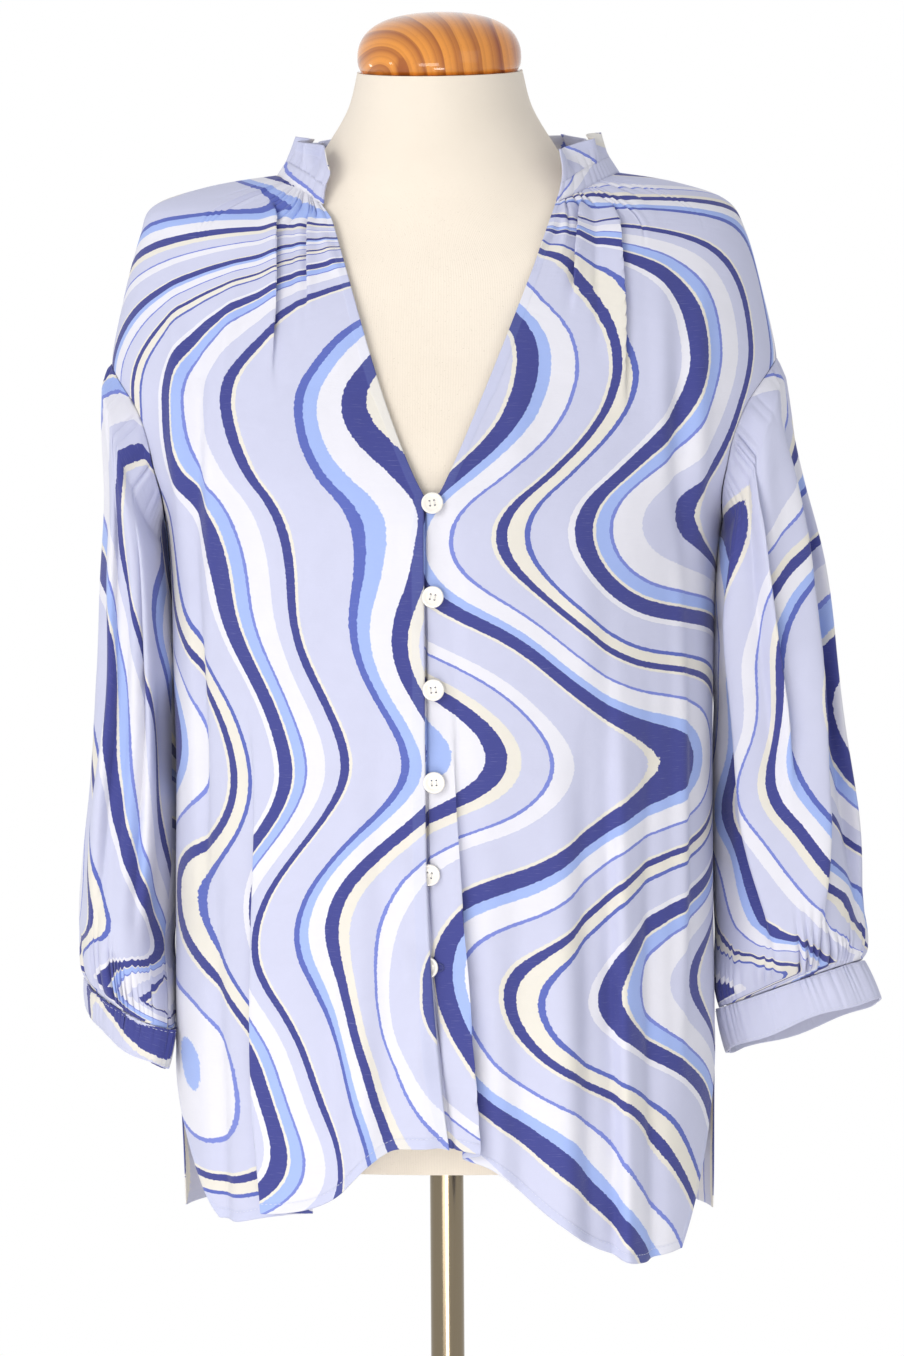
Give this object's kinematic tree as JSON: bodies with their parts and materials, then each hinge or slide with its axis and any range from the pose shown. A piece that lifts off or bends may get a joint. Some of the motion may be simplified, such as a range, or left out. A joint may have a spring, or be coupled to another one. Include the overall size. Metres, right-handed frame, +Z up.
{
  "type": "long-sleeve blouse on a limbless dress form with pole and base",
  "caption": "Loose V-neck button-front blouse with balloon sleeves and a frilled stand collar, worn by a limbless dress form on a pole.",
  "frame": {"origin": "middle of the base's underside, on the floor", "axes": "+Z up, -Y the front of the blouse, +X the wearer's left side"},
  "size_m": [0.5413, 0.3, 1.4484],
  "materials": {
    "print_cloth": "soft plain-weave cotton with a flowing marbled print in lavender, white, cream, periwinkle and navy",
    "loop_cord": "thin twisted thread loop",
    "shell_button": "glossy off-white with a faint pearl",
    "form_cover": "fine cream calico, smooth and tight",
    "varnished_wood": "orange-brown pine, high-gloss varnish",
    "brushed_steel": "satin steel"
  },
  "bodies": {
    "root": {"front_left": "print_cloth", "front_right": "print_cloth", "back": "print_cloth", "sleeve_left": "print_cloth", "sleeve_right": "print_cloth", "cuff_left": "print_cloth", "cuff_right": "print_cloth", "collar_band": "print_cloth", "collar_frill": "print_cloth", "button_1": "shell_button", "button_2": "shell_button", "button_3": "shell_button", "button_4": "shell_button", "button_5": "shell_button", "button_6": "shell_button", "loop_1": "loop_cord", "loop_2": "loop_cord", "loop_3": "loop_cord", "loop_4": "loop_cord", "loop_5": "loop_cord", "loop_6": "loop_cord", "form_torso": "form_cover", "neck_cap": "varnished_wood", "pole": "brushed_steel", "base": "brushed_steel"}
  },
  "joints": []
}
